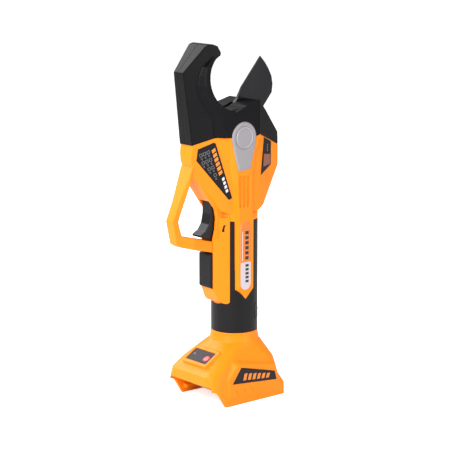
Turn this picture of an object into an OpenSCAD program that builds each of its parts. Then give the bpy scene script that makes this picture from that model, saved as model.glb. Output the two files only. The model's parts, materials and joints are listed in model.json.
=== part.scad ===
// Battery electric pruner: bypass shear head, brushless drive in the grip,
// slide-on battery foot.  Millimetres.  X = 0 and Y = 0 on the motor axis,
// -X is the trigger side, Y = 0 is the parting plane, Z = 0 is the ground.

/* [Head] */
// Height of the blade pivot above the ground
pivot_z = 239.3; // [238:0.1:241]
// Radius of the round throat in the hook
throat_r = 25.9; // [25:0.1:26.5]
// Thickness of the moving blade
blade_t = 3.5; // [3:0.1:3.6]
// Thickness of the fixed hook blade
hook_t = 4; // [3:0.1:4]
// Length of the blade from the pivot to its tip
blade_reach = 77.5; // [76:0.5:78]
// Radius of the pivot bolt's shank
bolt_r = 5; // [4.5:0.1:5.2]

/* [Body] */
// Half depth of the raised spine on each side
spine_y = 20.9; // [20.6:0.1:21.2]
// Half depth of the side faces beside the spine
face_y = 15.5; // [15:0.1:16]
// Moulded wall thickness
wall = 2.4; // [2:0.1:2.6]

/* [Grip] */
// Radius of the grip
grip_r = 21.2; // [20.8:0.1:21.4]
// Offset of the grip's centre behind the motor axis
grip_x = 6.2; // [6:0.1:6.4]
// Thickness of the soft overmould
skin_t = 1.6; // [1.2:0.1:1.8]
// Height of the joint between grip and foot
collar_z = 60; // [59:0.5:60]

/* [Foot] */
// Half width of the battery foot
foot_y = 33; // [32.5:0.1:33.5]
// Clear half width between the side skirts
slot_y = 29.4; // [29:0.1:29.6]
// Clear height under the foot's ceiling
slot_z = 19.4; // [19:0.1:20]

/* [Drive] */
// Gear module of both planetary stages
stage_m = 0.5; // [0.5:0.01:0.51]
// Radius of the motor's can
can_r = 13; // [12.5:0.1:13]
// Pitch radius of the bevel pinion
pinion_r = 6; // [5.8:0.1:6]
// Pitch radius of the toothed sector on the blade
sector_r = 30; // [29.5:0.1:30]

/* [Hidden] */
$fn = 64;
gap = 0.3;
big = 400;
room_y = 14;               // half depth of the room round the head's frame

// Stations of the drive train along the motor axis
can_z0 = 98;
can_z1 = 146;
case_z0 = 148;
case_z1 = 190;
case_r = 14.2;
sun_n = 12;
planet_n = 18;
ring_n = 48;
planet_c = stage_m * (sun_n + planet_n) / 2;
stage_z = [154.3, 167.2];
planet_h = 6.3;
planet_pin_r = 1.5;
pinion_n = 12;
sector_n = pinion_n * sector_r / pinion_r;
bearing_z = 193;
bearing_h = 7;
bearing_r = 11;
shaft_r = 4;
face_k = 0.8;              // the gears' small end as a share of the large end

// Trigger pivot and half width
trig_x = -19;
trig_z = 179.5;
trig_y = 6.2;

// Panel on the foot's front slope
panel_x = -32.6;
panel_z = 40.5;
panel_tilt = 31.4;
panel_l = 14.8;
panel_w = 28.5;
button_at = [-1, -8.6];
button_r = 3.4;

orange = [1, 0.52, 0.03];
black = [0.06, 0.06, 0.07];
rubber = [0.1, 0.1, 0.11];
steel = [0.72, 0.73, 0.75];
grey = [0.6, 0.59, 0.61];
board = [0.1, 0.35, 0.2];
copper = [0.8, 0.5, 0.25];

// ---- construction helpers ----

// an outline in the side plane (X, Z), solid from y0 to y1
module side(y0, y1, pts)
    translate([0, y1, 0]) rotate([90, 0, 0]) linear_extrude(height = y1 - y0) polygon(pts);

// an outline in the plan (X, Y), solid from z0 to z1
module plan(z0, z1, pts)
    translate([0, 0, z0]) linear_extrude(height = z1 - z0) polygon(pts);

// a round bar along Y
module bar_y(x, z, y0, y1, r)
    translate([x, y0, z]) rotate([-90, 0, 0]) cylinder(h = y1 - y0, r = r);

// a round bar along Z
module bar_z(z0, z1, r, x = 0, y = 0)
    translate([x, y, z0]) cylinder(h = z1 - z0, r = r);

// a round bar along X
module bar_x(x0, x1, y, z, r)
    translate([x0, y, z]) rotate([0, 90, 0]) cylinder(h = x1 - x0, r = r);

module box(x0, x1, y0, y1, z0, z1)
    translate([x0, y0, z0]) cube([x1 - x0, y1 - y0, z1 - z0]);

function arc(cx, cz, r, a0, a1, n) =
    [for (i = [0:n]) let (a = a0 + (a1 - a0) * i / n) [cx + r * cos(a), cz + r * sin(a)]];

// a bevelled plate between two outlines of the same number of points, counter-clockwise
// in (X, Z), the first at y0 (the mid-plane side) and the second at y1 further out (-Y)
module bevelled(y0, pts0, y1, pts1) {
    n = len(pts0);
    points = concat([for (p = pts0) [p[0], y0, p[1]]], [for (p = pts1) [p[0], y1, p[1]]]);
    faces = concat([[for (i = [0:n - 1]) i]], [[for (i = [0:n - 1]) 2 * n - 1 - i]],
                   [for (i = [0:n - 1]) [(i + 1) % n, i, n + i]],
                   [for (i = [0:n - 1]) [(i + 1) % n, n + i, n + (i + 1) % n]]);
    polyhedron(points = points, faces = faces, convexity = 6);
}

// an upright loft through closed sections of the same number of points
module tower(sections) {
    n = len(sections[0]);
    m = len(sections);
    points = [for (s = sections) each s];
    faces = concat([[for (i = [0:n - 1]) i]], [[for (i = [0:n - 1]) m * n - 1 - i]],
                   [for (j = [0:m - 2], i = [0:n - 1]) [j * n + (i + 1) % n, j * n + i, (j + 1) * n + i]],
                   [for (j = [0:m - 2], i = [0:n - 1])
                    [(j + 1) * n + (i + 1) % n, j * n + (i + 1) % n, (j + 1) * n + i]]);
    polyhedron(points = points, faces = faces, convexity = 6);
}

// a rounded rectangle at one height, 12 points a corner
function rounded(x0, x1, hy, r, z) =
    [for (c = [0:3], i = [0:11])
        let (a = c * 90 + i * 90 / 11, q = [[1, 1], [-1, 1], [-1, -1], [1, -1]][c],
             cx = q[0] > 0 ? x1 - r : x0 + r, cy = q[1] * (hy - r))
        [cx + r * cos(a), cy + r * sin(a), z]];

module near_half() intersection() { children(); box(-big, big, -big, 0, -big, big); }
module mirrored() mirror([0, 1, 0]) children();

// stub-tooth spur gear outline, one tooth centred on angle a0
function gear_pts(n, m, a0, add = 0.7, ded = 1.15, slim = 0.78) =
    let (r = n * m / 2, w = 90 / n * slim)
    [for (k = [0:n - 1]) each
        let (a = a0 + 360 * k / n)
        [for (q = [[r - ded * m, -w * 1.35], [r + add * m, -w * 0.55], [r + add * m, w * 0.55],
                   [r - ded * m, w * 1.35]]) [q[0] * cos(a + q[1]), q[0] * sin(a + q[1])]]];

// internal ring outline: its teeth point inwards, one centred on angle 0
function ring_pts(n, m, add = 0.7, ded = 1.15, slim = 0.78) =
    let (r = n * m / 2, w = 90 / n * slim)
    [for (k = [0:n - 1]) each
        let (a = 360 * k / n)
        [for (q = [[r + ded * m, -w * 1.35], [r - add * m, -w * 0.55], [r - add * m, w * 0.55],
                   [r + ded * m, w * 1.35]]) [q[0] * cos(a + q[1]), q[0] * sin(a + q[1])]]];

// ---- outlines ----

throat_c = [-9.5, 290];

// seam between the black head and the orange body
seam = [[-60, 233.2], [-49, 235.2], [-26, 240.9], [-15, 240.2], [14, 239.2], [20, 240.8], [52, 226.8],
        [60, 223.3]];

// whole head, counter-clockwise
head_outline = concat(
    [[-48, 225], [0, 225], [51.3, 225], [50.6, 238.5], [29.5, 261]],
    [[19.5, 270.2], [18.2, 271.2], [-9.5, 264.1], [-9.5, 290]],
    [[-22.8, 310.6], [-21.9, 315], [-25.2, 320.8], [-29.5, 322.6], [-34.5, 322.2], [-37, 320.6], [-57.4, 299]]);

// outer face depth grows from the thin front edge to the pivot
function outer_d(x) = 9 + 0.255 * (x + 48);

// ends of the body's rear bevel in the plan, and the way it faces
rear_a = [20.5, 18.2];
rear_b = [51.3, 8];
rear_n = [rear_a[1] - rear_b[1], rear_b[0] - rear_a[0]] / norm(rear_b - rear_a);

// plans of the head and the body: full in the middle, narrowing to the rear
head_plan = [[-62, outer_d(-62)], [-22.5, face_y], [-8, face_y], [0, 19.6], [19.8, 19.6], [51.3, 8],
             [62, 8], [62, 0], [-62, 0]];
body_plan = [[-62, 17.5], rear_a, rear_b, [62, rear_b[1]], [62, 0], [-62, 0]];
function flip(pts) = [for (p = pts) [p[0], -p[1]]];

// rim and pivot plate of the head: ramp foot and ramp top, both counter-clockwise
rim_foot = concat([[-31, 232], [26, 232], [26, 274], [-9.5, 262]],
    [[-21, 313.5], [-31, 311.5], [-39.5, 303.8], [-42.6, 296.6], [-44.2, 286], [-43.2, 278.4], [-39.4, 269.7],
     [-34, 259.6], [-31.4, 252.6]]);
rim_top = concat([[-20.4, 232], [19, 232], [19, 274], [-9.5, 262]],
    [[-21, 313.5], [-28.2, 311], [-35.4, 303], [-38.4, 296], [-39.4, 286.4], [-37.8, 279.6], [-33.4, 272.4],
     [-27.6, 264], [-24.8, 255]]);

// spine of the body: foot of its sloping walls and its flat top
spine_foot = [[-26.6, 252], [-26.6, 241], [-8.8, 192], [-7.8, 181], [-7.4, 160], [-7, 101.4], [2.2, 91], [12.4, 101.2],
              [12.4, 165], [13.8, 184], [16.4, 206], [20.6, 218], [24, 239], [24, 252]];
spine_top = [[-15.6, 252], [-15.4, 240.5], [-7.6, 207], [-6.2, 181.5], [-5.8, 160], [-5.4, 102.4], [2.2, 93], [11, 102],
             [11, 165], [9.6, 180], [9.4, 204], [12, 224], [19, 239], [19, 252]];
// the same walls carried on into the body, half as deep again as they stand out
spine_root = [for (i = [0:len(spine_foot) - 1]) 1.5 * spine_foot[i] - 0.5 * spine_top[i]];
// outline of the flat plate on top, a hair wider than the walls' ends
spine_lip = [for (p = spine_top) [1.02 * p[0], pivot_z + 1.003 * (p[1] - pivot_z)]];

body_outline = [[-48, 250], [-48, 235], [-49.6, 229], [-49.6, 221], [-47.6, 216], [-41, 204], [-19.6, 174.2],
                [-16, 172.6], [-6, 168], [12, 168.6], [17.4, 170.6], [27.2, 175.4], [51.2, 208.3], [51.2, 250]];
throat_outline = [[-47.6, 217], [-50.2, 201.5], [-46.4, 204.8], [-43.4, 203], [-28, 181.5], [-24, 176], [-22.4, 168],
                  [-23.4, 158], [-25.6, 149],
                  [10, 149], [10, 200], [-20, 217]];

// nose in front of the round grip, behind the trigger and the front pad
nose_x = -10.2;
nose_plan = [[-25.6, -8.2], [nose_x - 0.5, -14.2], [nose_x + 0.4, -12.4], [0, -12.4], [0, 12.4], [nose_x + 0.4, 12.4],
             [nose_x - 0.5, 14.2], [-25.6, 8.2]];
nose_side = [[-23.2, 98.5], [-21.4, 94.4], [-18.6, 91], [-15.4, 89], [-12.6, 88.6], [-5, 94], [0, 100], [0, 168], [-18.6, 168],
             [-18.6, 149], [-25.6, 149], [-25.6, 102.5]];

// orange field in the grip's side, the groove beside it and the pointed end of the spine
field_side = [[-40, 84], [-19.5, 86.4], [-14.6, 87.6], [-12.4, 89.2], [-10.9, 92.4], [nose_x, 96.4], [nose_x, 164],
              [60, 164], [60, 175], [-40, 175]];
pill_side = concat(arc(1.8, 157.8, 5.8, 0, 180, 16), arc(1.8, 107.1, 5.8, 180, 360, 16));

foot_sections = [
    // [height, front x, rear x, half width, corner radius]
    [0, -46.2, 41, foot_y, 5], [11, -46.2, 40.8, foot_y, 5], [20.5, -46.6, 35.2, foot_y - 0.6, 8],
    [28, -46.2, 34.8, foot_y - 1.6, 10], [36, -37.4, 34, foot_y - 3.6, 12],
    [42, -30, 31.6, foot_y - 6.2, 14], [48, -23, 29.8, foot_y - 9.2, 17],
    for (q = [[53, 1.5], [57, 0.6], [collar_z, 0]])
        [q[0], grip_x - grip_r - q[1], grip_x + grip_r + q[1], grip_r + q[1], grip_r + q[1] - 0.1]];

// pad on each side of the foot that carries the badge
pad_foot = [[-30, 5], [38.6, 3], [35, 20], [31.5, 33], [-14, 42], [-22, 41.6], [-34, 26.8]];
pad_top = [[-26, 7.4], [35.4, 6.4], [30.8, 20], [27, 30.4], [-14.5, 37], [-18, 36.6], [-28, 25]];
badge_side = [[-23.4, 20.4], [28.4, 15.9], [26.2, 24], [-13.2, 34]];

label_side = [[-29, 236.7], [-43.8, 231.6], [-44.8, 221.5], [-12.6, 184], [-9.6, 185.4], [-27.5, 235.8]];
rear_label_side = [[27.4, 236.4], [38.9, 231.4], [38.6, 210.4], [22.4, 203.2]];
window_side = [[26.4, 221.6], [36.6, 220.2], [36.8, 211.2], [25.2, 210.2]];

slot_x = 31;
rail_z = [4.5, 8];
foot_arch = [[-60, -5], [-30.4, -5], [-30.4, 0], [-37.2, 10.8], [-39.6, 14], [-43, 15.6], [-60, 15.6]];

// closed-up and resting outlines of the moving blade's room in the far half of the head
slot_side = [[-46, 320], [-45.6, 304], [-33.5, 271.6], [-27.5, 262], [-27, 222], [27, 222], [27, 244],
             [43.5, 261.2], [62, 275], [62, 330], [-30, 330]];
hook_side = concat([[-30, 229], [-12, 222.5], [12, 222.5], [18, 232], [18, 268], [-9.5, 261]],
    [[-9.5, 290], [-25.6, 310.6], [-26, 315], [-31, 318.6], [-35.5, 317], [-52.6, 298.4], [-44, 238]]);
blade_side = concat([[36.8, 307.5], [14.3, 281.2], [10.4, 271.7], [2, 260.5], [0, pivot_z], [22, 246], [40.5, 261.5],
    [50.8, 273.7], [51.7, 281.5], [50.4, 288.5], [46.6, 295.7], [42.2, 301.8]]);
screw_at = [[-39, 226.5], [42, 217], [26.6, 182], [-19.8, 140], [-19.8, 112]];
foot_screw_at = [[-31, 27.2], [24.6, 27.2]];

// ---- head ----

module head_solid() {
    above = concat(seam, [[60, 340], [-60, 340]]);
    difference() {
        union() {
            intersection() {
                side(-30, 0, head_outline);
                plan(200, 340, flip(head_plan));
                side(-40, 1, above);
            }
            intersection() {
                difference() {
                    bevelled(-10, rim_foot, -spine_y, rim_top);
                    translate([-80, -spine_y, 272]) rotate([-9.5, 0, 0]) translate([0, -20, 0]) cube([160, 20, 80]);
                }
                side(-30, 0, head_outline);
                side(-40, 1, above);
            }
        }
        bar_y(throat_c[0], throat_c[1], -40, 1, throat_r);
        // the mechanism behind the pivot plate
        bar_y(0, pivot_z, -room_y, 1, 17);
        box(-16.6, 16.6, -room_y, 1, 200, pivot_z);
        // cap seat and the way to the bolt
        bar_y(0, pivot_z, -40, -spine_y + 1.4, 14);
        bar_y(0, pivot_z, -40, 1, 11.6);
    }
}

module head_shroud_near() color(black) difference() {
    head_solid();
    fixed_plate();
}

module head_shroud_far() color(black) difference() {
    mirrored() head_solid();
    intersection() {
        bar_y(0, pivot_z, -1, blade_t + 0.8, blade_reach + 1.5);
        side(-1, blade_t + 0.8, slot_side);
    }
    bar_y(0, pivot_z, -1, 9.8, 24);
    intersection() {
        bar_y(0, pivot_z, -1, 9.8, sector_r + 2.4);
        box(-40, 40, -2, 12, 200, 246);
    }
}

module fixed_plate() difference() {
    side(-hook_t, 0, hook_side);
    bar_y(throat_c[0], throat_c[1], -10, 1, throat_r - 0.9);
}

module fixed_blade() color(steel) difference() {
    fixed_plate();
    bar_y(0, pivot_z, -10, 1, bolt_r);
    // ground bevel along the counter edge of the throat
    translate([throat_c[0], -hook_t - 1, throat_c[1]]) rotate([-90, 0, 0])
        cylinder(h = 3, r1 = throat_r + 2.1, r2 = throat_r - 0.9);
}

module moving_blade() color(black) difference() {
    union() {
        side(gap, gap + blade_t, blade_side);
        bar_y(0, pivot_z, gap, gap + blade_t, 22);
    }
    bar_y(0, pivot_z, -1, 10, bolt_r + 0.05);
    // hollow-ground edge from the shoulder to the tip
    translate([14.3, gap + 1, 281.2]) rotate([0, -49.45, 0]) rotate([28, 0, 0])
        translate([-12, 0, -20]) cube([60, 10, 20]);
    sector_screw_bars(-1, 10, 1.6);
}

// the sector's ends, its lowest tooth gap at rest and the screws that hold it
sector_arc = [-162, -78];
sector_gap = -90;
sector_screw_a = [-148, -118, -88];
sector_screw_r = 14.5;
module sector_screw_bars(y0, y1, r) for (a = sector_screw_a)
    bar_y(sector_screw_r * cos(a), pivot_z + sector_screw_r * sin(a), y0, y1, r);

module bevel_sector() color(steel) difference() {
    union() {
        // hub and toothed rim, turned about the pivot
        translate([0, 0, pivot_z]) rotate([-90, 0, 0]) rotate([0, 0, -sector_arc[1]])
            rotate_extrude(angle = sector_arc[1] - sector_arc[0])
                polygon([[7, gap + blade_t], [18, gap + blade_t], [22.4, 5.22], [sector_r + 1.5, 7.34],
                         [sector_r + 1.5, 9], [7, 9]]);
        for (k = [-11:1])
            translate([0, 0, pivot_z]) rotate([0, -(sector_gap + (k - 0.5) * 360 / sector_n), 0]) sector_tooth();
    }
    sector_screw_bars(-1, 20, 1.6);
}

// one straight bevel tooth along local +X, pointing to -Y; every edge runs to the apex
module sector_tooth() {
    r0 = sector_r;
    prof = [[-0.62, pinion_r + 1.15], [-0.30, pinion_r - 0.7], [0.30, pinion_r - 0.7], [0.62, pinion_r + 1.15]];
    points = concat([for (q = prof) [r0, q[1], q[0]]], [for (q = prof) [r0 * face_k, q[1] * face_k, q[0] * face_k]]);
    polyhedron(points = points, faces = [[0, 1, 2, 3], [7, 6, 5, 4], [1, 0, 4, 5], [2, 1, 5, 6], [3, 2, 6, 7],
                                         [0, 3, 7, 4]]);
}

module sector_screws() color(grey) sector_screw_bars(gap + 0.6, 9, 1.6);

module head_frame() color([0.62, 0.62, 0.6]) difference() {
    union() {
        for (c = [[-10, -hook_t], [9.8, 13]]) {
            bar_y(0, pivot_z, c[0], c[1], 15.6);
            box(-15.6, 15.6, c[0], c[1], case_z1, pivot_z);
        }
        bar_z(case_z1, case_z1 + 13, 13.8);
        box(-14, 14, -10, 13, case_z1, case_z1 + 13);
    }
    bar_y(0, pivot_z, -20, 20, bolt_r);
    bar_z(bearing_z, case_z1 + 14, bearing_r);
    bar_z(case_z1 - 1, bearing_z + 1, shaft_r + 2);
    // the pinion's well in the near cheek
    box(-9, 9, -7.4, 9, case_z1 + 12.9, case_z1 + 30);
}

module pivot_bolt() color(steel) difference() {
    union() {
        bar_y(0, pivot_z, -15.6, -10, 9);
        bar_y(0, pivot_z, -10, 18.2, bolt_r);
    }
    // hexagon socket
    translate([0, -16, pivot_z]) rotate([-90, 0, 0]) cylinder(h = 4, r = 4.6, $fn = 6);
}

module pivot_washer() color(steel) difference() {
    bar_y(0, pivot_z, 13, 14.2, 9.6);
    bar_y(0, pivot_z, 12, 15, bolt_r);
}

module pivot_nut() color(steel) difference() {
    translate([0, 14.2, pivot_z]) rotate([-90, 0, 0]) cylinder(h = 4, r = 9, $fn = 6);
    bar_y(0, pivot_z, 14, 19, bolt_r);
}

// grey cap over the pivot, with its tail down the spine
cap_tail = [[-13.9, pivot_z - 2], [-12, 228], [-7.4, 211.6], [-6.6, 209.8], [6.6, 209.8], [7.4, 211.6], [12, 228],
            [13.9, pivot_z - 2]];
cap_tail_top = [[-12.9, pivot_z - 2], [-11, 228], [-6.4, 212.6], [-5.8, 211.2], [5.8, 211.2], [6.4, 212.6],
                [11, 228], [12.9, pivot_z - 2]];
function reversed(v) = [for (i = [len(v) - 1:-1:0]) v[i]];

module cap_near() difference() {
    union() {
        bar_y(0, pivot_z, -spine_y + 0.2, -spine_y + 1.4, 14);
        translate([0, -spine_y - 0.8, pivot_z]) rotate([-90, 0, 0]) cylinder(h = 1, r1 = 13, r2 = 14);
        bevelled(-spine_y + 0.2, cap_tail, -spine_y - 0.8, cap_tail_top);
        box(-6, 6, -spine_y + 0.1, -spine_y + 1.4, 212, 230);
        bar_y(0, pivot_z, -spine_y + 1.3, -spine_y + 3.4, 11.5);
    }
    // room for the bolt's head or the nut
    bar_y(0, pivot_z, -spine_y + 1.4, 0, 9.8);
    // ring groove round the button
    difference() {
        bar_y(0, pivot_z, -spine_y - 1, -spine_y - 0.3, 10.4);
        bar_y(0, pivot_z, -spine_y - 2, -spine_y, 9.2);
    }
}
module pivot_cap_near() color(grey) cap_near();
module pivot_cap_far() color(grey) mirrored() cap_near();

// ---- body ----

// the plane that holds the side label, leaning in to the front edge
module on_face() translate([-48, -9, 235]) rotate([3.5, 0, -13.87]) children();
module behind_face() on_face() translate([-60, 0, -120]) cube([160, 60, 160]);

module nose() intersection() {
    plan(80, 170, nose_plan);
    side(-30, 30, nose_side);
}

module spine() intersection() {
    union() {
        bevelled(-12.5, spine_root, -spine_y + 0.1, spine_top);
        side(-spine_y, -18, spine_lip);
    }
    side(-40, 1, concat(seam, [[60, 0], [-60, 0]]));
}

module body_solid() {
    intersection() {
        side(-30, 0, body_outline);
        plan(140, 260, flip(body_plan));
        side(-40, 1, concat(seam, [[60, 0], [-60, 0]]));
        behind_face();
    }
    intersection() {
        side(-9, 0, throat_outline);
        behind_face();
    }
    near_half() nose();
    near_half() bar_z(collar_z, 166, grip_r - skin_t, grip_x);
    near_half() intersection() {
        bar_z(collar_z, 170, grip_r, grip_x);
        side(-spine_y, 1, field_side);
    }
    spine();
}

module body_room() {
    // head mechanism
    intersection() {
        side(-40, 1, [[-45.4, 260], [-45.4, 217.5], [-38, 204], [-16, 190], [-15, 172], [14, 171.6], [25, 177.8], [31, 184],
                      [48.6, 209.2], [48.6, 260]]);
        plan(140, 270, flip([[-45.4, 6.4], [-20, 12.6], [-6, 12.6], [24.4, 15], [48.6, 6], [48.6, -1],
                             [-45.4, -1]]));
    }
    box(-16.6, 16.6, -room_y, 1, case_z1 - 1, 262);
    bar_z(case_z0 - 2, case_z1 + 1, case_r + 0.1);
    // motor and board
    bar_z(can_z0 - 1, can_z1 + 1, can_r + 0.1);
    bar_z(collar_z - 1, can_z0 - 2, grip_r - skin_t - wall, grip_x);
    intersection() {
        bar_z(collar_z - 1, 172, grip_r - skin_t - wall, grip_x);
        box(2, 30, -17, 1, collar_z - 1, 172);
    }
    // trigger well, and the ledge above it for the sensor board
    box(-40, -14, -trig_y - 0.6, 1, 146.5, 183.4);
    box(-27.4, -14, -trig_y - 0.6, 1, 183, 190.4);
}

module boss_solid() for (p = screw_at)
    bar_y(p[0], p[1], -spine_y, 0, 3.2);

module vents() for (x = [-4.2, 0.4, 5])
    side(-spine_y - 1, -spine_y + 1.5, concat(arc(x - 0.05 * x, 178, 1.3, 180, 360, 8), arc(x, 203.4, 1.7, 0, 180, 8)));

module body_near() {
    difference() {
        body_solid();
        difference() {
            body_room();
            boss_solid();
        }
        bar_y(0, pivot_z, -40, -spine_y + 1.4, 14);
        bar_y(0, pivot_z, -40, 1, 11.6);
        bevelled(-spine_y + 0.2, cap_tail, -spine_y - 0.8, cap_tail);
        box(-6, 6, -spine_y, -spine_y + 1.4, 212, 230);
        vents();
        trigger_pin();
    }
}

module body_shell_near() color(orange) difference() {
    body_near();
    for (p = screw_at) bar_y(p[0], p[1], -8, 1, 1.4);
}

module body_shell_far() color(orange) difference() {
    mirrored() body_near();
    for (p = screw_at) {
        bar_y(p[0], p[1], -1, 40, 1.6);
        bar_y(p[0], p[1], 6.4, 40, 3);
    }
    // room for the toothed sector
    intersection() {
        bar_y(0, pivot_z, -1, 9.8, sector_r + 2.4);
        box(-40, 40, -2, 12, 200, 246);
    }
}

module trigger_guard() color(orange) intersection() {
    side(-12, 12, [[-47.6, 217], [-68.4, 169], [-64, 148.4], [-60, 145.6], [-41.6, 140.6], [-25.6, 137],
                   [-25.6, 146.8], [-57.2, 154.8], [-58.8, 156.8], [-61.8, 168.6], [-50.2, 201.5]]);
    plan(130, 220, [[-70, -5], [-60, -5.4], [-47.6, -8.8], [-25.6, -8.2], [-25, -8.2], [-25, 8.2], [-25.6, 8.2],
                    [-47.6, 8.8], [-60, 5.4], [-70, 5]]);
}

module label_near() intersection() {
    side(-30, 0, label_side);
    on_face() translate([-60, -0.4, -120]) cube([160, 0.4, 160]);
}
module face_label_near() color(black) label_near();
module face_label_far() color(black) mirrored() label_near();

// a layer over the rear bevel, from a to b outside it
module rear_layer(a, b) plan(180, 250, flip([rear_a + a * rear_n, rear_b + a * rear_n, rear_b + b * rear_n,
                                             rear_a + b * rear_n]));
module rear_near() intersection() {
    side(-30, 0, rear_label_side);
    rear_layer(0, 0.4);
}
module rear_label_near() color(black) rear_near();
module rear_label_far() color(black) mirrored() rear_near();
module pane_near() intersection() {
    side(-30, 0, window_side);
    rear_layer(0.4, 1);
}
module window_near() color([0.45, 0.2, 0.12]) pane_near();
module window_far() color([0.45, 0.2, 0.12]) mirrored() pane_near();

module housing_screws() color(steel) {
    for (p = screw_at) {
        bar_y(p[0], p[1], -7.6, 6.4, 1.4);
        bar_y(p[0], p[1], 6.4, 8.4, 2.8);
    }
    for (p = foot_screw_at) {
        bar_y(p[0], p[1], -7.6, 20, 1.4);
        bar_y(p[0], p[1], 20, 22, 2.8);
    }
}

// ---- grip ----

module skin_near() difference() {
    near_half() bar_z(collar_z + 1.2, 164, grip_r, grip_x);
    bar_z(50, 170, grip_r - skin_t, grip_x);
    side(-40, 1, field_side);
    nose();
    spine();
    side(-40, -18, spine_lip);
}
module grip_skin_near() color(rubber) skin_near();
module grip_skin_far() color(rubber) mirrored() skin_near();

module front_pad() color(rubber) side(-8.2, 8.2, concat([[-25.6, 136.8], [-25.6, 103.4]],
    arc(-26.4, 106.4, 2, 250, 180, 6), arc(-26.4, 134, 2, 180, 110, 6)));

module pill_near() side(-spine_y - 0.4, -spine_y, pill_side);
module grip_label_near() color([0.8, 0.76, 0.78]) pill_near();
module grip_label_far() color([0.8, 0.76, 0.78]) mirrored() pill_near();

// ---- trigger ----

module trigger() color(rubber) difference() {
    union() {
        side(-trig_y, trig_y, [[-24.4, 184], [-25.8, 183.2], [-26.2, 171], [-28, 162.4], [-32, 156.8], [-38.2, 153.4],
                               [-37.2, 151.6], [-29, 149], [-24.4, 149.6], [-21.4, 158], [-19.8, 166], [-20.4, 174]]);
        side(-3, 3, [[-25, 184.6], [-25.4, 176], [-20.6, 168], [-18.6, 168], [-16, 178.5], [-16.4, 181.5],
                     [-18, 186], [-23, 186]]);
    }
    bar_y(trig_x, trig_z, -20, 20, 1.55);
    box(-22.4, -18.4, -2, 2, 184.4, 190);
    // room for the return spring beside the lug
    for (s = [[3, 7], [-7, -3]]) bar_y(trig_x, trig_z, s[0], s[1], 4.4);
}

module trigger_pin() color(steel) bar_y(trig_x, trig_z, -9.6, 9.6, 1.5);

module trigger_magnet() color(grey) box(-22.4, -18.4, -2, 2, 184.4, 186);

module trigger_spring() color(steel) difference() {
    union() {
        bar_y(trig_x, trig_z, 3.3, 6.2, 3);
        box(-17.2, -16.4, 3.3, 4.2, trig_z, 188.2);
    }
    bar_y(trig_x, trig_z, 2, 8, 1.8);
}

module trigger_board() color(board) {
    box(-27.2, -17.4, -trig_y - 0.6, trig_y + 0.6, 188.4, 189.8);
    box(-22, -18.8, -1.8, 1.8, 187.4, 188.4);
}

// ---- foot ----

module foot_tower() tower([for (s = foot_sections) rounded(s[1], s[2], s[3], s[4], s[0])]);

module foot_room() tower([for (s = [[23.4, -44, 28, 26.6, 6], [28, -43, 28, 26.4, 7], [36, -33.4, 27, 24.4, 9],
    [42, -26, 26.4, 22, 12], [48, -19, 25.2, 19.4, 14], [53, -13.2, 25, 18.4, 17], [collar_z + 1, -11, 23.4, 17.2, 17.1]])
    rounded(s[1], s[2], s[3], s[4], s[0])]);

module on_panel() translate([panel_x, 0, panel_z]) rotate([0, -panel_tilt, 0]) children();

module plate(l, w, z0, z1, r) translate([0, 0, z0]) linear_extrude(height = z1 - z0)
    polygon([for (q = rounded(-l / 2, l / 2, w / 2, r, 0)) [q[0], q[1]]]);

module foot_near() difference() {
    near_half() {
        difference() {
            union() {
                foot_tower();
                on_panel() plate(panel_l + 6.4, panel_w + 6.4, -6, 1.6, 2.4);
            }
            foot_room();
        }
        bevelled(-24, pad_foot, -foot_y - 0.4, pad_top);
        for (p = foot_screw_at) bar_y(p[0], p[1], -28.4, 0, 3.2);
    }
    // battery slot, open to the front and below
    box(-60, slot_x, -slot_y, 1, -2, slot_z);
    side(-60, 1, foot_arch);
    on_panel() plate(panel_l, panel_w, -0.4, 3, 1.2);
    on_panel() plate(panel_l - 3, panel_w - 3, -8, 3, 1);
    for (x = [-16.4, -7.2, 2])
        side(-foot_y - 2, -foot_y + 0.5, [[x, 8], [x + 1.4, 8], [x - 2.6, 14.6], [x - 4, 14.6]]);
}

module rail_near() box(-29, slot_x, -slot_y, -26, rail_z[0], rail_z[1]);

module foot_shell_near() color(orange) difference() {
    union() {
        foot_near();
        rail_near();
    }
    for (p = foot_screw_at) bar_y(p[0], p[1], -8, 1, 1.4);
    badge_plate();
}

module foot_shell_far() color(orange) difference() {
    mirrored() difference() {
        union() {
            foot_near();
            rail_near();
        }
        badge_plate();
    }
    for (p = foot_screw_at) {
        bar_y(p[0], p[1], -1, 60, 1.6);
        bar_y(p[0], p[1], 20, 60, 3);
    }
}

module badge_plate() side(-foot_y - 0.7, -foot_y + 0.2, badge_side);
module badge_near() color(black) badge_plate();
module badge_far() color(black) mirrored() badge_plate();

module power_panel() color([0.27, 0.25, 0.28]) difference() {
    on_panel() plate(panel_l, panel_w, -0.4, 0.6, 1.2);
    on_panel() translate([button_at[0], button_at[1], -2]) cylinder(h = 4, r = button_r + gap);
    on_panel() translate([1.2, 9.8, -2]) cylinder(h = 4, r = 0.8);
}

module power_button() color([0.75, 0.12, 0.16]) on_panel() translate([button_at[0], button_at[1], 0]) {
    translate([0, 0, -1]) cylinder(h = 2, r = button_r);
    translate([0, 0, -3.2]) cylinder(h = 2.4, r = 1.6);
}

module led_lens() color([0.85, 0.9, 0.85]) on_panel() translate([1.2, 9.8, -2]) cylinder(h = 2.7, r = 0.8);

module panel_board() color(board) on_panel() {
    translate([-5.4, -11, -6]) cube([10.8, 22, 1.4]);
    translate([button_at[0] - 1.8, button_at[1] - 1.8, -4.6]) cube([3.6, 3.6, 0.5]);
    translate([0.6, 9.2, -4.6]) cube([1.2, 1.2, 2.6]);
}

module terminal_block() color([0.85, 0.3, 0.05]) difference() {
    side(-15.6, 15.6, [[-31, 12.4], [-29.6, 11], [20, 11], [20, slot_z], [-31, slot_z]]);
    for (y = [-10.5, -3.5, 3.5, 10.5]) box(-28, 2, y - 1.4, y + 1.4, 10, 17.4);
}

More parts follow.
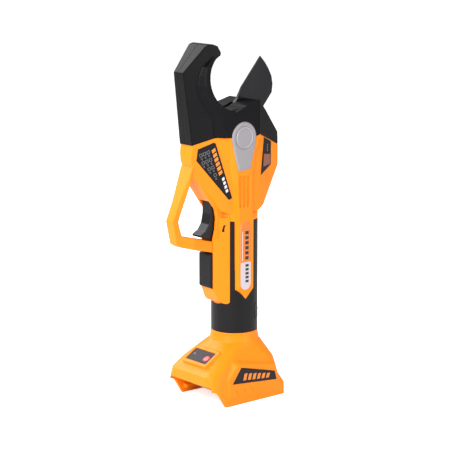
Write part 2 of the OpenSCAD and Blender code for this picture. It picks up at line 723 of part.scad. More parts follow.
module terminal_blades() color(copper) for (y = [-10.5, -3.5, 3.5, 10.5])
    box(-24, 0, y - 0.4, y + 0.4, 12, 17.4);

module control_board() color(board) {
    box(4, 5.6, -14.6, 14.6, 62, 95);
    for (z = [70, 80, 90]) box(5.6, 8.6, -9, 9, z - 3, z + 3);
    for (y = [-8, 8]) translate([0, y, 66]) bar_x(-2.6, 4, 0, 0, 3.6);
    box(-1, 4, -5, 5, 76, 92);
}

// ---- drive ----

module motor_can() color([0.3, 0.3, 0.32]) difference() {
    bar_z(can_z0, can_z1, can_r);
    bar_z(can_z0 + 2, can_z1 - 2, can_r - 1);
    bar_z(can_z0 - 1, can_z1 + 1, 2.2);
}

module motor_stator() color(copper) difference() {
    bar_z(can_z0 + 8, can_z1 - 8, can_r - 1);
    bar_z(can_z0 + 7, can_z1 - 7, 7.4);
    for (k = [0:8]) rotate([0, 0, 40 * k]) box(8.4, 11, -1.6, 1.6, can_z0 + 7, can_z1 - 7);
}

module motor_rotor() color(steel) {
    bar_z(can_z0 + 0.6, stage_z[0] + planet_h - 0.3, 1.8);
    bar_z(can_z0 + 10, can_z1 - 10, 7);
    translate([0, 0, stage_z[0] - 3]) linear_extrude(height = planet_h + 2.7)
        polygon(gear_pts(sun_n, stage_m, 0));
}

module gear_case() color([0.55, 0.55, 0.57]) difference() {
    bar_z(can_z1, case_z1, case_r);
    translate([0, 0, case_z0 + 2]) linear_extrude(height = 26.8) polygon(ring_pts(ring_n, stage_m));
    bar_z(case_z0 + 28, case_z1 + 1, 11.4);
    bar_z(can_z1 - 1, case_z1 + 1, 3.6);
}

// plate with three planet pins under it and the next stage's shaft on top
module carrier(z, top) {
    bar_z(z, z + 2.4, 10.2);
    for (k = [0:2]) rotate([0, 0, 120 * k]) bar_z(z - planet_h - 0.3, z + 0.1, planet_pin_r, planet_c);
    children();
}

module carrier_one() color(steel) carrier(stage_z[0] + planet_h + 0.3) {
    translate([0, 0, stage_z[0] + planet_h + 2.6]) linear_extrude(height = planet_h + 3.4)
        polygon(gear_pts(sun_n, stage_m, 0));
}

module carrier_two() color(steel) carrier(stage_z[1] + planet_h + 0.3)
    bar_z(stage_z[1] + planet_h + 2.6, bearing_z + bearing_h + 15.6, shaft_r);

module planet(stage, k) color([0.65, 0.66, 0.7]) rotate([0, 0, 120 * k]) translate([planet_c, 0, stage_z[stage]])
    difference() {
        linear_extrude(height = planet_h) polygon(gear_pts(planet_n, stage_m, 180 / planet_n));
        translate([0, 0, -1]) cylinder(h = planet_h + 2, r = planet_pin_r + 0.05);
    }
module planet_1a() planet(0, 0);
module planet_1b() planet(0, 1);
module planet_1c() planet(0, 2);
module planet_2a() planet(1, 0);
module planet_2b() planet(1, 1);
module planet_2c() planet(1, 2);

module shaft_bearing() color(steel) difference() {
    bar_z(bearing_z, bearing_z + bearing_h, bearing_r);
    bar_z(bearing_z - 1, bearing_z + bearing_h + 1, shaft_r + 0.05);
}

module bevel_pinion() color([0.5, 0.5, 0.53]) difference() {
    union() {
        translate([0, 0, pivot_z - sector_r])
            linear_extrude(height = sector_r * (1 - face_k), scale = face_k)
                polygon(gear_pts(pinion_n, 2 * pinion_r / pinion_n, 0, 0.65, 0.9, 0.7));
        bar_z(pivot_z - sector_r - 4, pivot_z - sector_r, 5);
    }
    bar_z(190, 230, shaft_r);
}

head_shroud_near();
head_shroud_far();
fixed_blade();
moving_blade();
bevel_sector();
sector_screws();
head_frame();
pivot_bolt();
pivot_washer();
pivot_nut();
pivot_cap_near();
pivot_cap_far();
body_shell_near();
body_shell_far();
trigger_guard();
face_label_near();
face_label_far();
rear_label_near();
rear_label_far();
window_near();
window_far();
grip_skin_near();
grip_skin_far();
front_pad();
grip_label_near();
grip_label_far();
trigger();
trigger_pin();
trigger_magnet();
trigger_spring();
trigger_board();
foot_shell_near();
foot_shell_far();
power_panel();
power_button();
led_lens();
panel_board();
badge_near();
badge_far();
terminal_block();
terminal_blades();
control_board();
motor_can();
motor_stator();
motor_rotor();
gear_case();
carrier_one();
carrier_two();
planet_1a();
planet_1b();
planet_1c();
planet_2a();
planet_2b();
planet_2c();
shaft_bearing();
bevel_pinion();
housing_screws();
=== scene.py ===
import json
import math

import bpy
import bmesh
from mathutils import Matrix, Vector


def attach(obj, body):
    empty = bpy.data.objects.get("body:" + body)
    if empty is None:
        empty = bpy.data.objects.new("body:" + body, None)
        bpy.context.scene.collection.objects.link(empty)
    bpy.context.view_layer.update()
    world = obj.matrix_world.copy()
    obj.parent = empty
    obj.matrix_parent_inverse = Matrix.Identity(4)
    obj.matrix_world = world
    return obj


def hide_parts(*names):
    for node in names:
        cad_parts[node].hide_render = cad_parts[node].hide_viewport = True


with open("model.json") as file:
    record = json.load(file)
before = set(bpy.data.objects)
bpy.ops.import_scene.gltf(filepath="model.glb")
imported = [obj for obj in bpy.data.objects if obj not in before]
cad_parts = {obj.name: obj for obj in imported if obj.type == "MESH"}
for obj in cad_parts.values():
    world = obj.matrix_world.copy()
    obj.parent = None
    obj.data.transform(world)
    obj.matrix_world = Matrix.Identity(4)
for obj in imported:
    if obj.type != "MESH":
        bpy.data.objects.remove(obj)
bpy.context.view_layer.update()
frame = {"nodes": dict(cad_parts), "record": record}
cadNodes = frame["nodes"]
scene = bpy.context.scene
mm = 0.001
print("frame loaded:", len(cadNodes), "nodes")


# effects that several finishes share

def newGroup(name, inputs, outputs):
    group = bpy.data.node_groups.new(name, "ShaderNodeTree")
    for label, kind, value in inputs:
        socket = group.interface.new_socket(label, in_out="INPUT", socket_type=kind)
        socket.default_value = value
    for label, kind in outputs:
        group.interface.new_socket(label, in_out="OUTPUT", socket_type=kind)
    return group, group.nodes.new("NodeGroupInput"), group.nodes.new("NodeGroupOutput")


def addNode(tree, kind, settings=None, inputs=None):
    node = tree.nodes.new(kind)
    for key, value in (settings or {}).items():
        setattr(node, key, value)
    for key, value in (inputs or {}).items():
        node.inputs[key].default_value = value
    return node


def mouldGrainGroup():
    # spark-eroded texture of a moulding: a height that wanders at two sizes
    group, entry, leave = newGroup(
        "mouldGrain",
        [("Fine", "NodeSocketFloat", 2600.0), ("Coarse", "NodeSocketFloat", 420.0),
         ("Share", "NodeSocketFloat", 0.3)],
        [("Height", "NodeSocketFloat")],
    )
    place = addNode(group, "ShaderNodeTexCoord")
    fine = addNode(group, "ShaderNodeTexNoise", inputs={"Detail": 2.0, "Roughness": 0.6})
    coarse = addNode(group, "ShaderNodeTexNoise", inputs={"Detail": 1.0, "Roughness": 0.5})
    blend = addNode(group, "ShaderNodeMix", {"data_type": "FLOAT"})
    group.links.new(place.outputs["Object"], fine.inputs["Vector"])
    group.links.new(place.outputs["Object"], coarse.inputs["Vector"])
    group.links.new(entry.outputs["Fine"], fine.inputs["Scale"])
    group.links.new(entry.outputs["Coarse"], coarse.inputs["Scale"])
    group.links.new(entry.outputs["Share"], blend.inputs[0])
    group.links.new(fine.outputs["Fac"], blend.inputs[2])
    group.links.new(coarse.outputs["Fac"], blend.inputs[3])
    group.links.new(blend.outputs[0], leave.inputs["Height"])
    return group


def handledToneGroup():
    # slow drift of colour and polish over a part that is handled
    group, entry, leave = newGroup(
        "handledTone",
        [("Base", "NodeSocketColor", (0.5, 0.5, 0.5, 1)), ("Drift", "NodeSocketColor", (0.4, 0.4, 0.4, 1)),
         ("Amount", "NodeSocketFloat", 0.3), ("Scale", "NodeSocketFloat", 28.0),
         ("Rough Low", "NodeSocketFloat", 0.3), ("Rough High", "NodeSocketFloat", 0.45)],
        [("Color", "NodeSocketColor"), ("Roughness", "NodeSocketFloat")],
    )
    place = addNode(group, "ShaderNodeTexCoord")
    cloud = addNode(group, "ShaderNodeTexNoise", inputs={"Detail": 4.0, "Roughness": 0.55})
    spread = addNode(group, "ShaderNodeMapRange", inputs={"From Min": 0.3, "From Max": 0.7})
    share = addNode(group, "ShaderNodeMath", {"operation": "MULTIPLY"})
    tint = addNode(group, "ShaderNodeMix", {"data_type": "RGBA"})
    rough = addNode(group, "ShaderNodeMapRange")
    links = group.links
    links.new(place.outputs["Object"], cloud.inputs["Vector"])
    links.new(entry.outputs["Scale"], cloud.inputs["Scale"])
    links.new(cloud.outputs["Fac"], spread.inputs["Value"])
    links.new(spread.outputs["Result"], share.inputs[0])
    links.new(entry.outputs["Amount"], share.inputs[1])
    links.new(share.outputs[0], tint.inputs[0])
    links.new(entry.outputs["Base"], tint.inputs[6])
    links.new(entry.outputs["Drift"], tint.inputs[7])
    links.new(spread.outputs["Result"], rough.inputs["Value"])
    links.new(entry.outputs["Rough Low"], rough.inputs["To Min"])
    links.new(entry.outputs["Rough High"], rough.inputs["To Max"])
    links.new(tint.outputs[2], leave.inputs["Color"])
    links.new(rough.outputs["Result"], leave.inputs["Roughness"])
    return group


def grindLinesGroup():
    # long fine scratches left by grinding, along one axis
    group, entry, leave = newGroup(
        "grindLines",
        [("Stretch", "NodeSocketVector", (60.0, 2600.0, 2600.0))],
        [("Height", "NodeSocketFloat")],
    )
    place = addNode(group, "ShaderNodeTexCoord")
    scale = addNode(group, "ShaderNodeVectorMath", {"operation": "MULTIPLY"})
    lines = addNode(group, "ShaderNodeTexNoise", inputs={"Scale": 1.0, "Detail": 3.0, "Roughness": 0.6})
    group.links.new(place.outputs["Object"], scale.inputs[0])
    group.links.new(entry.outputs["Stretch"], scale.inputs[1])
    group.links.new(scale.outputs[0], lines.inputs["Vector"])
    group.links.new(lines.outputs["Fac"], leave.inputs["Height"])
    return group


mouldGrain = mouldGrainGroup()
handledTone = handledToneGroup()
grindLines = grindLinesGroup()

finishes = {
    "orangeShell": dict(base=(1.0, 0.258, 0.001), drift=(0.97, 0.240, 0.001), amount=0.5, rough=(0.36, 0.44),
                        grain=0.05, specular=0.25),
    "headBlack": dict(base=(0.0012, 0.0012, 0.002), drift=(0.002, 0.002, 0.003), amount=0.6, rough=(0.34, 0.42),
                      grain=0.06, specular=0.14),
    "gripRubber": dict(base=(0.006, 0.0055, 0.0065), drift=(0.009, 0.008, 0.010), amount=0.6, rough=(0.40, 0.50),
                       grain=0.12, specular=0.2, share=0.5),
    "triggerBlack": dict(base=(0.006, 0.0055, 0.007), drift=(0.009, 0.008, 0.010), amount=0.5, rough=(0.28, 0.36),
                         grain=0.05, specular=0.28),
    "capGrey": dict(base=(0.33, 0.315, 0.335), drift=(0.29, 0.275, 0.295), amount=0.5, rough=(0.36, 0.46),
                    grain=0.08, metallic=0.25),
    # the cap ring's lighter grey is a painted highlight: it stands for the light the ring's edge catches
    "capRingHighlight": dict(base=(0.50, 0.485, 0.50), drift=(0.44, 0.43, 0.44), amount=0.5, rough=(0.3, 0.38), grain=0.04,
                    metallic=0.3),
    "labelFilm": dict(base=(0.0035, 0.0035, 0.0045), drift=(0.006, 0.006, 0.007), amount=0.5, rough=(0.24, 0.30),
                      grain=0.02, specular=0.2),
    "labelGrey": dict(base=(0.60, 0.54, 0.58), drift=(0.55, 0.49, 0.53), amount=0.4, rough=(0.30, 0.36), grain=0.02),
    "badgeBlack": dict(base=(0.017, 0.013, 0.016), drift=(0.022, 0.017, 0.020), amount=0.4, rough=(0.32, 0.40),
                       grain=0.05, specular=0.2),
    "windowAmber": dict(base=(0.20, 0.065, 0.03), drift=(0.30, 0.05, 0.02), amount=0.9, rough=(0.14, 0.2),
                        grain=0.01, coat=0.5, scale=120.0),
    "panelGrey": dict(base=(0.036, 0.031, 0.038), drift=(0.044, 0.038, 0.046), amount=0.5, rough=(0.46, 0.54),
                      grain=0.10, specular=0.25),
    "buttonRed": dict(base=(0.60, 0.030, 0.045), drift=(0.52, 0.022, 0.035), amount=0.4, rough=(0.3, 0.38),
                      grain=0.04),
    "lensClear": dict(base=(0.22, 0.23, 0.22), drift=(0.16, 0.17, 0.16), amount=0.4, rough=(0.15, 0.2), grain=0.01),
    "terminalRed": dict(base=(0.50, 0.075, 0.008), drift=(0.42, 0.06, 0.006), amount=0.5, rough=(0.4, 0.5),
                        grain=0.08, specular=0.3),
    "markOrange": dict(base=(0.85, 0.25, 0.01), drift=(0.75, 0.20, 0.01), amount=0.5, rough=(0.3, 0.36), grain=0.02),
    "markTan": dict(base=(0.74, 0.19, 0.015), drift=(0.68, 0.17, 0.012), amount=0.5, rough=(0.3, 0.36), grain=0.02),
    "markGrey": dict(base=(0.16, 0.15, 0.16), drift=(0.12, 0.11, 0.12), amount=0.6, rough=(0.3, 0.36), grain=0.02),
    "markPale": dict(base=(0.72, 0.70, 0.72), drift=(0.62, 0.60, 0.62), amount=0.5, rough=(0.3, 0.36), grain=0.02),
    "markBlack": dict(base=(0.012, 0.011, 0.012), drift=(0.018, 0.016, 0.018), amount=0.5, rough=(0.3, 0.36),
                      grain=0.02),
    "boardGreen": dict(base=(0.012, 0.10, 0.035), drift=(0.008, 0.07, 0.025), amount=0.7, rough=(0.3, 0.4),
                       grain=0.05, scale=300.0),
    "magnetGrey": dict(base=(0.08, 0.08, 0.085), drift=(0.06, 0.06, 0.065), amount=0.6, rough=(0.5, 0.6), grain=0.2),
}
metals = {
    "bladeCoat": dict(base=(0.009, 0.0085, 0.010), drift=(0.015, 0.014, 0.017), amount=0.6, rough=(0.30, 0.40),
                      metallic=0.4, stretch=(2200.0, 500.0, 120.0), lines=0.05),
    "hookSteel": dict(base=(0.62, 0.62, 0.64), drift=(0.5, 0.5, 0.52), amount=0.5, rough=(0.24, 0.34),
                      metallic=1.0, stretch=(300.0, 3000.0, 300.0), lines=0.08),
    "plainSteel": dict(base=(0.56, 0.56, 0.58), drift=(0.46, 0.46, 0.48), amount=0.5, rough=(0.26, 0.36),
                       metallic=1.0, stretch=(1800.0, 1800.0, 200.0), lines=0.06),
    "gearSteel": dict(base=(0.36, 0.36, 0.38), drift=(0.28, 0.27, 0.27), amount=0.6, rough=(0.22, 0.34),
                      metallic=1.0, stretch=(900.0, 900.0, 2400.0), lines=0.05),
    "castAlloy": dict(base=(0.52, 0.52, 0.51), drift=(0.44, 0.44, 0.43), amount=0.6, rough=(0.42, 0.55),
                      metallic=1.0, stretch=(1500.0, 1500.0, 1500.0), lines=0.15),
    "copperWire": dict(base=(0.72, 0.28, 0.12), drift=(0.60, 0.22, 0.09), amount=0.5, rough=(0.24, 0.36),
                       metallic=1.0, stretch=(400.0, 400.0, 5000.0), lines=0.25),
    "motorBlack": dict(base=(0.03, 0.03, 0.033), drift=(0.045, 0.045, 0.05), amount=0.6, rough=(0.34, 0.44),
                       metallic=0.6, stretch=(900.0, 900.0, 300.0), lines=0.06),
}


def makeFinish(name, look, effect):
    material = bpy.data.materials.new(name)
    material.use_nodes = True
    tree = material.node_tree
    surface = tree.nodes["Principled BSDF"]
    surface.inputs["Metallic"].default_value = look.get("metallic", 0.0)
    surface.inputs["Coat Weight"].default_value = look.get("coat", 0.0)
    surface.inputs["Coat Roughness"].default_value = 0.2
    surface.inputs["Specular IOR Level"].default_value = look.get("specular", 0.5)
    tone = addNode(tree, "ShaderNodeGroup", {"node_tree": handledTone}, {
        "Base": (*look["base"], 1), "Drift": (*look["drift"], 1), "Amount": look["amount"],
        "Scale": look.get("scale", 28.0), "Rough Low": look["rough"][0], "Rough High": look["rough"][1]})
    bump = addNode(tree, "ShaderNodeBump", inputs={"Distance": 0.0002})
    if effect is grindLines:
        relief = addNode(tree, "ShaderNodeGroup", {"node_tree": grindLines}, {"Stretch": look["stretch"]})
        bump.inputs["Strength"].default_value = look["lines"]
    else:
        relief = addNode(tree, "ShaderNodeGroup", {"node_tree": mouldGrain}, {"Share": look.get("share", 0.3)})
        bump.inputs["Strength"].default_value = look["grain"]
    tree.links.new(relief.outputs["Height"], bump.inputs["Height"])
    tree.links.new(bump.outputs["Normal"], surface.inputs["Normal"])
    tree.links.new(tone.outputs["Color"], surface.inputs["Base Color"])
    tree.links.new(tone.outputs["Roughness"], surface.inputs["Roughness"])
    return material


finish = {name: makeFinish(name, look, mouldGrain) for name, look in finishes.items()}
finish.update({name: makeFinish(name, look, grindLines) for name, look in metals.items()})
print("finishes made:", len(finish))


# finish of each CAD slot

slotFinish = {
    "head_black": "headBlack", "body_orange": "orangeShell", "blade_coat": "bladeCoat", "hook_steel": "hookSteel",
    "steel": "plainSteel", "cast_alloy": "castAlloy", "cap_grey": "capGrey", "label_black": "labelFilm",
    "window_red": "windowAmber", "rubber_black": "gripRubber", "label_grey": "labelGrey",
    "trigger_black": "triggerBlack", "magnet_grey": "magnetGrey", "board_green": "boardGreen",
    "panel_grey": "panelGrey", "button_red": "buttonRed", "led_clear": "lensClear", "terminal_red": "terminalRed",
    "copper": "copperWire", "motor_black": "motorBlack", "gear_steel": "gearSteel",
}
nodeSlot = {part["node"]: part["material_slot"] for part in frame["record"]["subparts"]}
for node, shape in cadNodes.items():
    shape.data.materials.clear()
    shape.data.materials.append(finish[slotFinish[nodeSlot[node]]])
for node in ("badge_near", "badge_far"):
    cadNodes[node].data.materials[0] = finish["badgeBlack"]


# mouldings: the CAD shells with every edge rounded as a mould leaves it

def joined(mesh):
    work = bmesh.new()
    work.from_mesh(mesh)
    bmesh.ops.remove_doubles(work, verts=work.verts, dist=1e-6)
    result = bpy.data.meshes.new(mesh.name)
    work.to_mesh(result)
    work.free()
    return result


def settled(piece):
    # the piece's mesh after its modifiers, which are then gone
    graph = bpy.context.evaluated_depsgraph_get()
    mesh = bpy.data.meshes.new_from_object(piece.evaluated_get(graph))
    piece.modifiers.clear()
    piece.data = mesh
    return piece


def place(name, mesh, body, slot, finishName):
    piece = bpy.data.objects.new(name, mesh)
    scene.collection.objects.link(piece)
    mesh.materials.clear()
    mesh.materials.append(finish[finishName])
    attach(piece, body)
    return piece


mouldings = {
    "headNear": dict(node="head_shroud_near", voxel=0.4, rounds=4, keep=0.25, seam=0.22),
    "headFar": dict(node="head_shroud_far", voxel=0.4, rounds=4, keep=0.25, seam=0.22),
    "bodyNear": dict(node="body_shell_near", voxel=0.4, rounds=7, keep=0.25, seam=0.25),
    "bodyFar": dict(node="body_shell_far", voxel=0.4, rounds=7, keep=0.25, seam=0.25),
    "guardLoop": dict(node="trigger_guard", voxel=0.5, rounds=12, keep=0.4),
    "gripNear": dict(node="grip_skin_near", voxel=0.4, rounds=3, keep=0.3, seam=0.2),
    "gripFar": dict(node="grip_skin_far", voxel=0.4, rounds=3, keep=0.3, seam=0.2),
    "padFront": dict(node="front_pad", voxel=0.3, rounds=10, keep=0.4),
    "triggerLever": dict(node="trigger", voxel=0.35, rounds=9, keep=0.5, body="trigger"),
    "footNear": dict(node="foot_shell_near", voxel=0.42, rounds=7, keep=0.25, seam=0.27),
    "footFar": dict(node="foot_shell_far", voxel=0.42, rounds=7, keep=0.25, seam=0.27),
    "capNear": dict(node="pivot_cap_near", voxel=0.25, rounds=4, keep=0.4),
    "capFar": dict(node="pivot_cap_far", voxel=0.25, rounds=4, keep=0.4),
}


def makeMoulding(name, look):
    node = look["node"]
    piece = place(name, joined(cadNodes[node].data), look.get("body", "housing"), nodeSlot[node],
                  slotFinish[nodeSlot[node]])
    # the flat at the parting plane stands a little past it, so that rounding leaves a fine line there
    for vert in piece.data.vertices:
        if abs(vert.co.y) < 1e-6:
            vert.co.y += look.get("seam", 0) * mm * (1 if node.endswith("near") else -1)
    mesher = piece.modifiers.new("mesher", "REMESH")
    mesher.mode = "VOXEL"
    mesher.voxel_size = look["voxel"] * mm
    rounder = piece.modifiers.new("rounder", "SMOOTH")
    rounder.factor = 0.5
    rounder.iterations = look["rounds"]
    thinner = piece.modifiers.new("thinner", "DECIMATE")
    thinner.ratio = look["keep"]
    settled(piece)
    piece.data.materials.clear()
    piece.data.materials.append(finish[slotFinish[nodeSlot[node]]])
    piece.data.shade_smooth()
    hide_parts(node)
    print("moulding", name, len(piece.data.polygons))
    return piece


for name, look in mouldings.items():
    makeMoulding(name, look)


# printed marks and small relief on the near side, repeated on the far side

# the surfaces they lie on, each as its depth at a point of the side view

gripRound = dict(centre=6.2, radius=21.2, seenFrom=-14.5)
face = dict(yaw=-13.87, lean=3.5, corner=(-48, -9, 235), label=0.4)
faceTurn = (Matrix.Rotation(math.radians(face["yaw"]), 3, "Z")
            @ Matrix.Rotation(math.radians(face["lean"]), 3, "X"))
faceNormal = faceTurn @ Vector((0, 1, 0))
faceCorner = Vector(face["corner"])
rearBevel = dict(x=20.5, depth=-18.2, rise=10.2, run=30.8, label=0.43)
noseFlank = dict(x=25.6, depth=8.2, rise=6.0, run=14.9, end=-10.7)
spineDepth = -21.3
badgeDepth = -33.7


def gripDepth(x):
    if x <= gripRound["seenFrom"]:
        return 0
    return math.sqrt(gripRound["radius"] ** 2 - (x - gripRound["centre"]) ** 2)


def onFace(x, z):
    return (faceNormal.dot(faceCorner) - face["label"] - faceNormal.x * x - faceNormal.z * z) / faceNormal.y


def onRear(x, z):
    return rearBevel["depth"] + (x - rearBevel["x"]) * rearBevel["rise"] / rearBevel["run"] - rearBevel["label"]


def onSpine(x, z):
    return spineDepth


def onBadge(x, z):
    return badgeDepth


def onNose(x, z):
    flank = 0
    if x < noseFlank["end"]:
        flank = noseFlank["depth"] + (x + noseFlank["x"]) * noseFlank["rise"] / noseFlank["run"]
    return -max(flank, gripDepth(x))


def bar(x0, x1, z0, z1, lean=0.0):
    return [(x0, z0), (x1, z0), (x1 + lean, z1), (x0 + lean, z1)]


def disc(x, z, r, count=20):
    return [(x + r * math.cos(2 * math.pi * i / count), z + r * math.sin(2 * math.pi * i / count))
            for i in range(count)]


def plateMesh(name, outlines, depthAt, proud, sunk, side):
    # closed thin plates that follow a surface of the side view; side is 1 for near and -1 for far
    work = bmesh.new()
    for outline in outlines:
        area = sum(a[0] * b[1] - b[0] * a[1] for a, b in zip(outline, outline[1:] + outline[:1]))
        ordered = outline if area * side > 0 else outline[::-1]
        rings = [[work.verts.new((x * mm, side * (depthAt(x, z) + depth) * mm, z * mm)) for x, z in ordered]
                 for depth in (-proud, sunk)]
        work.faces.new(rings[0])
        work.faces.new(rings[1][::-1])
        for i in range(len(ordered)):
            j = (i + 1) % len(ordered)
            work.faces.new((rings[0][i], rings[1][i], rings[1][j], rings[0][j]))
    bmesh.ops.recalc_face_normals(work, faces=work.faces)
    mesh = bpy.data.meshes.new(name)
    work.to_mesh(mesh)
    work.free()
    return mesh


def makeMarks(name, outlines, depthAt, slot, finishName, proud=0.08, sunk=0.1, round=0.0):
    for label, side in (("Near", 1), ("Far", -1)):
        mesh = plateMesh(name + label, outlines, depthAt, proud, sunk, side)
        piece = place(name + label, mesh, "housing", slot, finishName)
        if round:
            softener = piece.modifiers.new("softener", "BEVEL")
            softener.width = round * mm
            softener.segments = 3
            settled(piece)
            piece.data.shade_smooth()
    print("marks", name, len(outlines))


# side label: its marks run along its rear edge
sideLabel = dict(corner=(-27.5, 235.7), end=(-9.7, 185.6), columns=((7.4, 36.0), (11.0, 26.0), (14.6, 15.0)))
icon = dict(first=3.0, pitch=7.4, size=3.0, line=0.45, high=2.3)
run = (Vector(sideLabel["end"]) - Vector(sideLabel["corner"])).normalized()
across = Vector((run.y, -run.x))


def onLabel(s, t):
    point = Vector(sideLabel["corner"]) + run * s + across * t
    return (point.x, point.y)


def labelBar(s0, s1, t0, t1, lean=0.0):
    return [onLabel(s0, t0), onLabel(s1, t0), onLabel(s1 + lean, t1), onLabel(s0 + lean, t1)]


makeMarks("labelStripes", [labelBar(3.2 + 4.3 * i, 6.2 + 4.3 * i, 1.7, 5.4, 1.1) for i in range(6)], onFace,
          "label_black", "markOrange")
makeMarks("labelDashes", [labelBar(31.6 + 3.9 * i, 34.2 + 3.9 * i, 1.5, 3.9, 0.7) for i in range(4)], onFace,
          "label_grey", "markPale")
smallBars = []
for start, length in sideLabel["columns"]:
    for i in range(int(length / icon["pitch"])):
        s = icon["first"] + icon["pitch"] * i
        end, low, high = s + icon["size"], start + icon["line"], start + icon["high"]
        # a box of four lines, and two dashes after it
        smallBars += [labelBar(s, end, start, low), labelBar(s, end, high, high + icon["line"]),
                      labelBar(s, s + icon["line"], low, high), labelBar(end - icon["line"], end, low, high),
                      labelBar(s + 4.0, s + 6.2, start + 0.9, start + 1.3),
                      labelBar(s + 4.0, s + 5.6, start + 1.8, start + 2.2)]
makeMarks("labelIcons", smallBars, onFace, "label_grey", "markGrey")

# rear label
makeMarks("rearDashes", [bar(31.8, 33.2, 228.2 - 2.4 * i, 229.8 - 2.4 * i, 0.3) for i in range(3)], onRear,
          "label_grey", "markGrey")

# pill label on the spine: brown field over a pale field
pill = dict(x=1.8, r=5.8, top=157.8, split=126.6)
fieldArc = [(pill["x"] + pill["r"] * math.cos(math.radians(a)), pill["top"] + pill["r"] * math.sin(math.radians(a)))
            for a in range(0, 181, 12)]
fieldFoot = [(pill["x"] + side * pill["r"], pill["split"]) for side in (1, -1)]
makeMarks("pillField", [fieldFoot[:1] + fieldArc + fieldFoot[1:]], onSpine, "label_grey", "markTan", proud=0.06)
makeMarks("pillLine", [bar(-2.6, -2.0, 128, 155)], onSpine, "label_grey", "markPale", proud=0.12)
makeMarks("pillStripes", [bar(1.0, 5.0, 129 + 4.6 * i, 132 + 4.6 * i) for i in range(6)]
          + [bar(1.4, 5.0, 108 + 3.6 * i, 110.2 + 3.6 * i) for i in range(5)], onSpine, "label_grey", "markBlack",
          proud=0.12)

# badge on the foot
makeMarks("badgeStripes", [bar(-11.6 + 5.4 * i, -8.2 + 5.4 * i, 21.8 - 0.5 * i, 28.0 - 0.9 * i, 1.6)
                           for i in range(6)], onBadge, "body_orange", "markOrange")

# rubber inlay beside the spine
makeMarks("inlayFlag", [[(-10.2, 163.0), (-16.4, 161.0), (-18.0, 155.3), (-10.2, 153.6)]], onNose,
          "rubber_black", "gripRubber", proud=0.3, sunk=1.0, round=0.25)


# collar between grip and foot

def latheMesh(name, profile, centre, count=96):
    work = bmesh.new()
    rings = []
    for i in range(count):
        a = 2 * math.pi * i / count
        along, aside = math.cos(a), math.sin(a)
        rings.append([work.verts.new(((centre[0] + r * along) * mm, (centre[1] + r * aside) * mm, z * mm))
                      for r, z in profile])
    for i in range(count):
        here, after = rings[i], rings[(i + 1) % count]
        for k in range(len(profile)):
            n = (k + 1) % len(profile)
            work.faces.new((here[k], after[k], after[n], here[n]))
    bmesh.ops.recalc_face_normals(work, faces=work.faces)
    mesh = bpy.data.meshes.new(name)
    work.to_mesh(mesh)
    work.free()
    return mesh


collar = dict(centre=(6.2, 0), radius=21.5, inner=19.9, low=58.4, high=61.4)
collarEdge = 0.5
collarCrown = 0.05
collarProfile = [(collar["inner"], collar["low"]), (collar["radius"] - collarEdge, collar["low"]),
                 (collar["radius"], collar["low"] + collarEdge),
                 (collar["radius"] + collarCrown, (collar["low"] + collar["high"]) / 2),
                 (collar["radius"], collar["high"] - collarEdge), (collar["radius"] - collarEdge, collar["high"]),
                 (collar["inner"], collar["high"])]
ring = place("collarRing", latheMesh("collarRing", collarProfile, collar["centre"]), "housing", "body_orange",
             "orangeShell")
ring.data.shade_smooth()


# raised outline on the grip, and the power mark on the button

def tubeMesh(name, points, radius, closed, count=10):
    curve = bpy.data.curves.new(name, "CURVE")
    curve.dimensions = "3D"
    curve.bevel_depth = radius
    curve.bevel_resolution = 2
    curve.use_fill_caps = True
    line = curve.splines.new("POLY")
    line.points.add(len(points) - 1)
    for slot, point in zip(line.points, points):
        slot.co = (*point, 1)
    line.use_cyclic_u = closed
    holder = bpy.data.objects.new(name + "Path", curve)
    mesh = bpy.data.meshes.new_from_object(holder)
    bpy.data.objects.remove(holder)
    bpy.data.curves.remove(curve)
    mesh.name = name
    return mesh


outlineCorners = [(15.6, 86.9), (12.8, 83.8), (14.0, 72.8), (23.4, 74.0), (24.0, 78.0)]
outlinePath = []
for start, end in zip(outlineCorners, outlineCorners[1:] + outlineCorners[:1]):
    outlinePath += [(start[0] + (end[0] - start[0]) * i / 8, start[1] + (end[1] - start[1]) * i / 8) for i in range(8)]
for label, side in (("Near", -1), ("Far", 1)):
    path = [(x * mm, side * math.sqrt(gripRound["radius"] ** 2 - (x - gripRound["centre"]) ** 2) * mm, z * mm)
            for x, z in outlinePath]
    relief = place("gripOutline" + label, tubeMesh("gripOutline" + label, path, 0.28 * mm, True), "housing",
                   "rubber_black", "gripRubber")
    relief.data.shade_smooth()

panel = dict(x=-32.6, z=40.5, tilt=31.4, button=(-1.0, -8.6), mark=1.5, face=1.0)
panelFrame = Matrix.Translation((panel["x"], 0, panel["z"])) @ Matrix.Rotation(math.radians(-panel["tilt"]), 4, "Y")


def onPanel(x, y, z):
    return tuple(c * mm for c in (panelFrame @ Vector((x, y, z))))


buttonX, buttonY = panel["button"]
arcPoints = [onPanel(buttonX + panel["mark"] * math.cos(math.radians(a)),
                     buttonY + panel["mark"] * math.sin(math.radians(a)), panel["face"]) for a in range(40, 321, 14)]
stemPoints = [onPanel(buttonX + r, buttonY, panel["face"]) for r in (0.5, 1.2, 1.9)]
for name, points in (("powerArc", arcPoints), ("powerStem", stemPoints)):
    mark = place(name, tubeMesh(name, points, 0.2 * mm, False), "power_button", "label_grey", "markPale")
    mark.data.shade_smooth()

# raised ring round the pivot cap, in a lighter grey than the cap: a painted highlight for the light its edge catches
capRing = dict(z=239.3, y=21.72, radius=9.0, wire=0.38)
for label, side in (("Near", -1), ("Far", 1)):
    circle = [(x * mm, side * capRing["y"] * mm, z * mm) for x, z in disc(0, capRing["z"], capRing["radius"], 72)]
    edge = place("capRingHighlight" + label, tubeMesh("capRingHighlight" + label, circle, capRing["wire"] * mm, True), "housing",
                 "cap_grey", "capRingHighlight")
    edge.data.shade_smooth()
print("details placed")


# floor, lights and camera

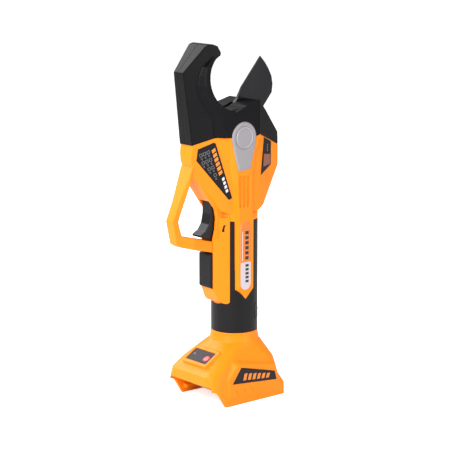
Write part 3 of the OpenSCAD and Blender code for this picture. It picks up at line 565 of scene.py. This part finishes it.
def makeFloor():
    material = bpy.data.materials.new("studioFloor")
    material.use_nodes = True
    surface = material.node_tree.nodes["Principled BSDF"]
    surface.inputs["Base Color"].default_value = (0.93, 0.93, 0.93, 1)
    surface.inputs["Roughness"].default_value = 0.9
    surface.inputs["Specular IOR Level"].default_value = 0.1
    # a sheet lit from below, as the camera sees it, so that it stays white under the object
    surface.inputs["Emission Color"].default_value = (1, 1, 1, 1)
    paths = addNode(material.node_tree, "ShaderNodeLightPath")
    glow = addNode(material.node_tree, "ShaderNodeMath", {"operation": "MULTIPLY"})
    glow.inputs[1].default_value = 0.62
    material.node_tree.links.new(paths.outputs["Is Camera Ray"], glow.inputs[0])
    material.node_tree.links.new(glow.outputs[0], surface.inputs["Emission Strength"])
    work = bmesh.new()
    bmesh.ops.create_grid(work, x_segments=8, y_segments=8, size=6.0)
    mesh = bpy.data.meshes.new("studioFloor")
    work.to_mesh(mesh)
    work.free()
    mesh.materials.append(material)
    floor = bpy.data.objects.new("studioFloor", mesh)
    scene.collection.objects.link(floor)


def makeLight(name, place, aim, size, power):
    data = bpy.data.lights.new(name, "AREA")
    data.shape = "RECTANGLE"
    data.size, data.size_y = size
    data.energy = power
    lamp = bpy.data.objects.new(name, data)
    lamp.location = place
    lamp.rotation_euler = (Vector(aim) - Vector(place)).to_track_quat("-Z", "Y").to_euler()
    scene.collection.objects.link(lamp)


view = dict(azimuth=-40.0, elevation=11.3, distance=1.53, centre=(0, 0, 0.1575), shift=-0.0036, lens=136.0)


def makeCamera():
    a, e = math.radians(view["azimuth"]), math.radians(view["elevation"])
    back = Vector((math.sin(a) * math.cos(e), -math.cos(a) * math.cos(e), math.sin(e)))
    right = Vector((math.cos(a), math.sin(a), 0))
    up = back.cross(right)
    data = bpy.data.cameras.new("studioCamera")
    data.lens = view["lens"]
    data.sensor_width = 36.0
    data.clip_end = 50.0
    camera = bpy.data.objects.new("studioCamera", data)
    turn = Matrix((right, up, back)).transposed().to_4x4()
    eye = Vector(view["centre"]) + back * view["distance"] + right * view["shift"]
    camera.matrix_world = Matrix.Translation(eye) @ turn
    scene.collection.objects.link(camera)
    scene.camera = camera


makeFloor()
makeCamera()


def makeWorld(seen, cast):
    # a white room: what the camera sees of it is brighter than the light it casts
    world = bpy.data.worlds.new("studioWorld")
    world.use_nodes = True
    tree = world.node_tree
    around = tree.nodes["Background"]
    around.inputs["Color"].default_value = (1, 1, 1, 1)
    paths = addNode(tree, "ShaderNodeLightPath")
    level = addNode(tree, "ShaderNodeMapRange", inputs={"To Min": cast, "To Max": seen})
    tree.links.new(paths.outputs["Is Camera Ray"], level.inputs["Value"])
    tree.links.new(level.outputs["Result"], around.inputs["Strength"])
    scene.world = world


makeWorld(1.0, 0.45)
centre = Vector((0, 0, 0.17))
lights = {
    "keyLight": dict(toward=(-0.85, -0.25, 0.45), away=1.5, size=(0.8, 0.8), power=22),
    "sideLight": dict(toward=(0.30, -0.93, 0.22), away=1.4, size=(0.6, 1.0), power=6.5),
    "topLight": dict(toward=(0.05, 0.05, 1.0), away=1.4, size=(1.0, 1.0), power=4),
    "edgeLight": dict(toward=(-0.23, 0.75, 0.62), away=1.3, size=(1.1, 1.1), power=14),
}
for name, lamp in lights.items():
    makeLight(name, centre + Vector(lamp["toward"]).normalized() * lamp["away"], centre, lamp["size"], lamp["power"])
scene.view_settings.view_transform = "Standard"
print("stage ready")
